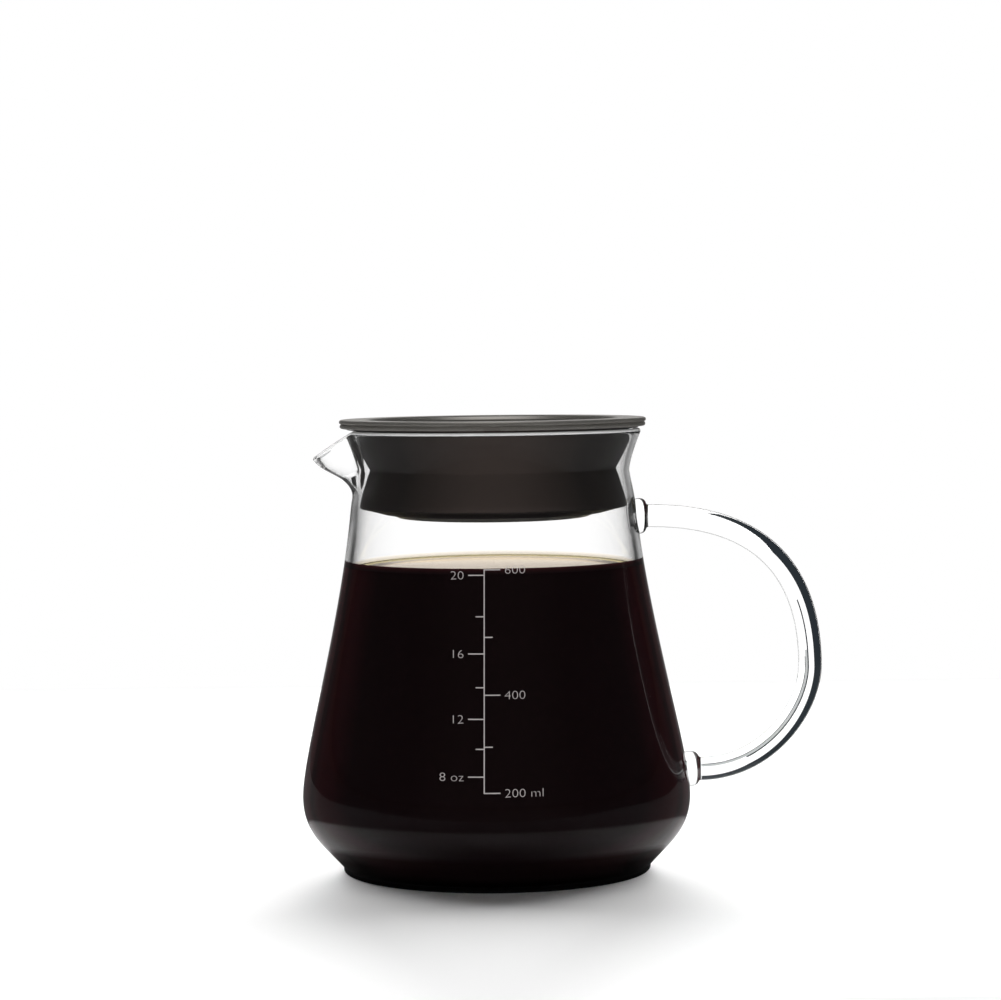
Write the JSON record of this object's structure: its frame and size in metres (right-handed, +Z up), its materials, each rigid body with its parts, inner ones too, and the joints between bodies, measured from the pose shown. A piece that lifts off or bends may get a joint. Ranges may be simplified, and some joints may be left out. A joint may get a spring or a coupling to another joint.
{
  "type": "coffee server",
  "caption": "Glass coffee server with a beak spout, a glass rod handle, a printed volume scale and a deep steel lid held in the neck by a soft seal.",
  "frame": {"origin": "centre of the foot, on the surface that the jug stands on, on the jug's own axis", "axes": "+Z up along the jug's axis, +X towards the handle, -X towards the spout, -Y towards the printed scale"},
  "size_m": [0.1477, 0.11, 0.1282],
  "materials": {
    "jug_glass": "clear, blown",
    "handle_glass": "clear, drawn rod",
    "seal_silicone": "smooth, dark, slightly glossy",
    "lid_steel": "satin pressing",
    "scale_print": "fired enamel print",
    "coffee": "still liquid"
  },
  "bodies": {
    "jug": {"glass_jug": "jug_glass", "handle_rod": "handle_glass", "handle_weld_upper": "handle_glass", "handle_weld_lower": "handle_glass"},
    "seal": {"lid_seal": "seal_silicone"},
    "lid": {"lid_pan": "lid_steel"}
  },
  "joints": [
    {"name": "lid_lift", "type": "slide", "parent": "jug", "child": "seal", "axis": [0, 0, 1], "range_m": [0, 0.05]},
    {"name": "lid_turn", "type": "hinge", "parent": "seal", "child": "lid", "pos_m": [0, 0, 0.1252], "axis": [0, 0, 1], "continuous": true}
  ]
}
